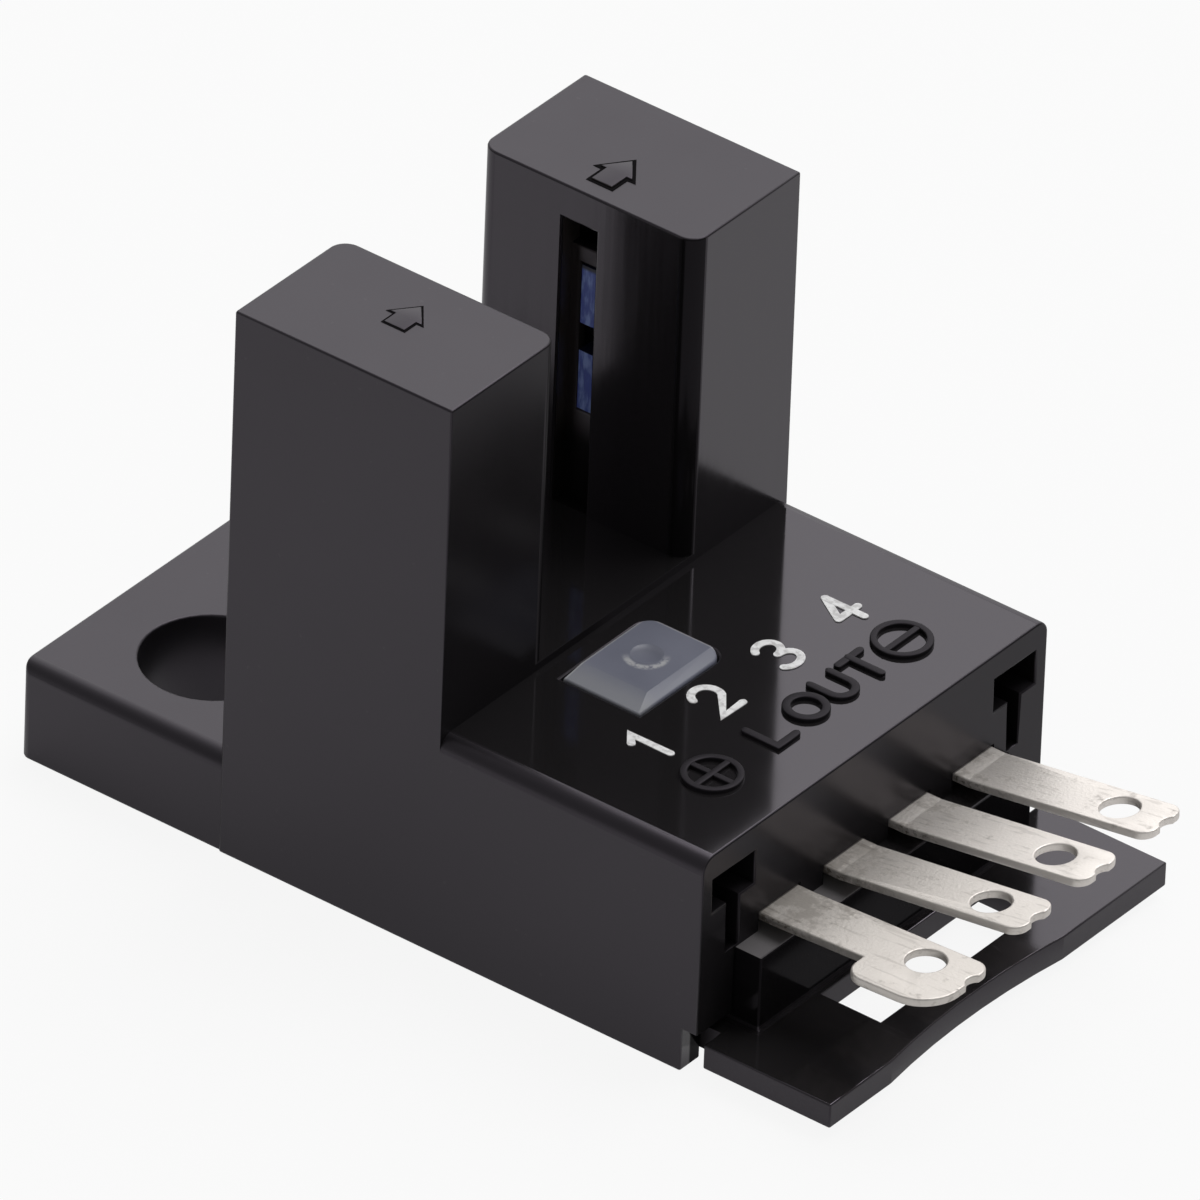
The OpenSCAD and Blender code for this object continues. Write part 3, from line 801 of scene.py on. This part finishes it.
def rim(edge):
    """True on edges that lie along a strip's face and not through its thickness."""
    run = edge.verts[1].co - edge.verts[0].co
    return abs(run.z) < RIM_SLOPE * run.length


def on_tongue(edge):
    """True on the cover's edges beyond the end of the case."""
    return edge.verts[0].co.x > END_X


def dressed(node, finish, radius, segments=2, keep=lambda edge: True):
    """A copy of a node with rounded edges that stands for it."""
    mesh = tidy_copy(node)
    round_edges(mesh, radius, segments, keep)
    new_piece(node + "_finished", mesh, finish, node)


for name in ("plus", "l", "out", "minus"):
    dressed("terminal_" + name, TIN_FINISH, TIN_ROUND, segments=3, keep=rim)
dressed("indicator_window", WINDOW_FINISH, WINDOW_ROUND, segments=3)
dressed("bottom_cover", COVER_FINISH, COVER_ROUND, keep=on_tongue)
for node, finish in NODE_FINISHES.items():
    NODES[node].data.materials.clear()
    NODES[node].data.materials.append(finish)


# Studio: a pale floor, a soft surround that is brighter behind to the left, and one soft key light above

FLOOR_SIDE = 1.5
# A hair under the part, so that the two flats don't share a plane
FLOOR_GAP = 0.02 * MM
FLOOR_PAINT = (0.65, 0.65, 0.65, 1)
# How white the floor is to the camera, in reflections and through clear parts
FLOOR_SEEN = 0.9
FLOOR_REFLECTED = 0.45
FLOOR_THROUGH = 0.4
WHITE = (1, 1, 1, 1)
KEY_DISTANCE = 0.6
KEY_SIZE = 0.35
KEY_POWER = 1.6
KEY_FROM = Vector((0.15, 0.4, 0.9)).normalized()
SURROUND = 0.27
GLOW = 1.45
GLOW_FOCUS = 4
GLOW_FROM = (-0.49, 0.66, 0.56)


def studio_floor():
    """White to the camera apart from a faint shadow, clear from below."""
    bpy.ops.mesh.primitive_plane_add(size=FLOOR_SIDE, location=(0, 0, -FLOOR_GAP))
    floor = bpy.context.object
    floor.name = "studio_floor"
    f = new_finish("floor_white")
    camera_ray = f.add("LightPath", {}, {}, "Is Camera Ray")
    glossy_ray = f.add("LightPath", {}, {}, "Is Glossy Ray")
    through_ray = f.add("LightPath", {}, {}, "Is Transmission Ray")
    from_below = f.add("NewGeometry", {}, {}, "Backfacing")
    white = FLOOR_SEEN * camera_ray + FLOOR_REFLECTED * glossy_ray + FLOOR_THROUGH * through_ray
    paint = f.add("BsdfDiffuse", {}, {"Color": FLOOR_PAINT})
    glow = f.add("Emission", {}, {"Color": WHITE, "Strength": 1.0})
    shown = f.add("MixShader", {}, {0: white, 1: paint, 2: glow})
    clear = f.add("BsdfTransparent", {}, {})
    floor.data.materials.append(f.surface(f.add("MixShader", {}, {0: from_below, 1: shown, 2: clear})))


def studio_surround():
    """White to the camera; light that is stronger from behind on the left."""
    world = bpy.data.worlds.new("surround")
    scene.world = world
    f = Finish(world)
    camera_ray = f.add("LightPath", {}, {}, "Is Camera Ray")
    direction = f.add("TexCoord", {}, {}, "Generated")
    lean = f.add("VectorMath", {"operation": "DOT_PRODUCT"}, {0: direction, 1: GLOW_FROM}, "Value")
    ahead = lean.or_more(0)
    level = SURROUND + GLOW * ahead.math("POWER", ahead, GLOW_FOCUS)
    strength = camera_ray + level * (1 - camera_ray)
    glow = f.add("Background", {}, {"Color": WHITE, "Strength": strength})
    f.add("OutputWorld", {}, {"Surface": glow})


def key_light():
    """One soft lamp, high and a little behind."""
    lamp = bpy.data.lights.new("key", "AREA")
    lamp.size = KEY_SIZE
    lamp.energy = KEY_POWER
    light = bpy.data.objects.new("key", lamp)
    scene.collection.objects.link(light)
    light.location = KEY_FROM * KEY_DISTANCE
    light.rotation_euler = KEY_FROM.to_track_quat("Z", "Y").to_euler()


studio_floor()
studio_surround()
key_light()


# Camera at the photograph's viewing angle, from the corners of the case

AZIMUTH = math.radians(36.598)
ELEVATION = math.radians(34.358)
ROLL = math.radians(2.297)
CAMERA_DISTANCE = 653.126 * MM
AIM = Vector((6.65, 0, 6)) * MM
AIM_RIGHT = 1.399 * MM
AIM_UP = -0.499 * MM
SENSOR = 36
LENS = 863.15


def photo_camera():
    """Looks from far off through a long lens, a little rolled, its aim shifted as in the photograph."""
    back = Vector((
        math.sin(AZIMUTH) * math.cos(ELEVATION),
        -math.cos(AZIMUTH) * math.cos(ELEVATION),
        math.sin(ELEVATION),
    ))
    level = Vector((math.cos(AZIMUTH), math.sin(AZIMUTH), 0))
    rise = back.cross(level)
    right = math.cos(ROLL) * level + math.sin(ROLL) * rise
    up = back.cross(right)
    data = bpy.data.cameras.new("camera")
    data.sensor_width = SENSOR
    data.lens = LENS
    camera = bpy.data.objects.new("camera", data)
    scene.collection.objects.link(camera)
    place = AIM + AIM_RIGHT * right + AIM_UP * up + CAMERA_DISTANCE * back
    turn = Matrix((right, up, back)).transposed()
    camera.matrix_world = Matrix.Translation(place) @ turn.to_4x4()
    scene.camera = camera


photo_camera()
scene.view_settings.view_transform = "Standard"
